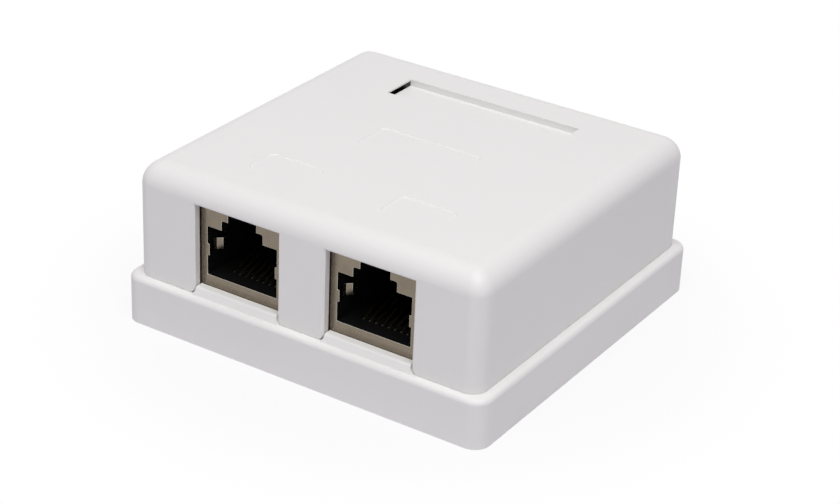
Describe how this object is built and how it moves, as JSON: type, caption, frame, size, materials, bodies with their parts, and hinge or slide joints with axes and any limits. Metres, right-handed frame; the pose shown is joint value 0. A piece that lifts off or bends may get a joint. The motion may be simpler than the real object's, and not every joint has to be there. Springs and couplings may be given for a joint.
{
  "type": "surface-mounted ethernet wall socket",
  "caption": "White surface-mounted wall box with shielded modular network jacks in its front, a lift-off cover, terminal blocks inside and a cable entry in its floor.",
  "frame": {"origin": "middle of the underside, on the wall or table that the box stands on", "axes": "+Z away from the wall, -Y out of the ports, +X to the right as seen from the ports"},
  "size_m": [0.06, 0.0584, 0.0249],
  "materials": {
    "cover_plastic": "fine satin, moulded",
    "shell_metal": "nickel-plated sheet",
    "jack_plastic": "moulded",
    "contact_gold": "gold-plated",
    "board_laminate": "green solder resist",
    "terminal_plastic": "moulded",
    "blade_metal": "tin-plated",
    "clamp_steel": "zinc-plated",
    "screw_steel": "zinc-plated"
  },
  "bodies": {
    "base_assembly": {"base": "cover_plastic", "circuit_board": "board_laminate", "jack_shell_left": "shell_metal", "jack_housing_left": "jack_plastic", "contact_carrier_left": "jack_plastic", "jack_contacts_left": "contact_gold", "cable_clamp_left": "clamp_steel", "terminal_block_front_left": "terminal_plastic", "terminal_blades_front_left": "blade_metal", "terminal_block_rear_left": "terminal_plastic", "terminal_blades_rear_left": "blade_metal", "jack_shell_right": "shell_metal", "jack_housing_right": "jack_plastic", "contact_carrier_right": "jack_plastic", "jack_contacts_right": "contact_gold", "cable_clamp_right": "clamp_steel", "terminal_block_front_right": "terminal_plastic", "terminal_blades_front_right": "blade_metal", "terminal_block_rear_right": "terminal_plastic", "terminal_blades_rear_right": "blade_metal", "board_screws": "screw_steel", "clamp_screws": "screw_steel"},
    "cover": {"cover": "cover_plastic"}
  },
  "joints": [
    {"name": "cover_lift", "type": "slide", "parent": "base_assembly", "child": "cover", "axis": [0, 0, 1], "range_m": [0, 0.03]}
  ]
}
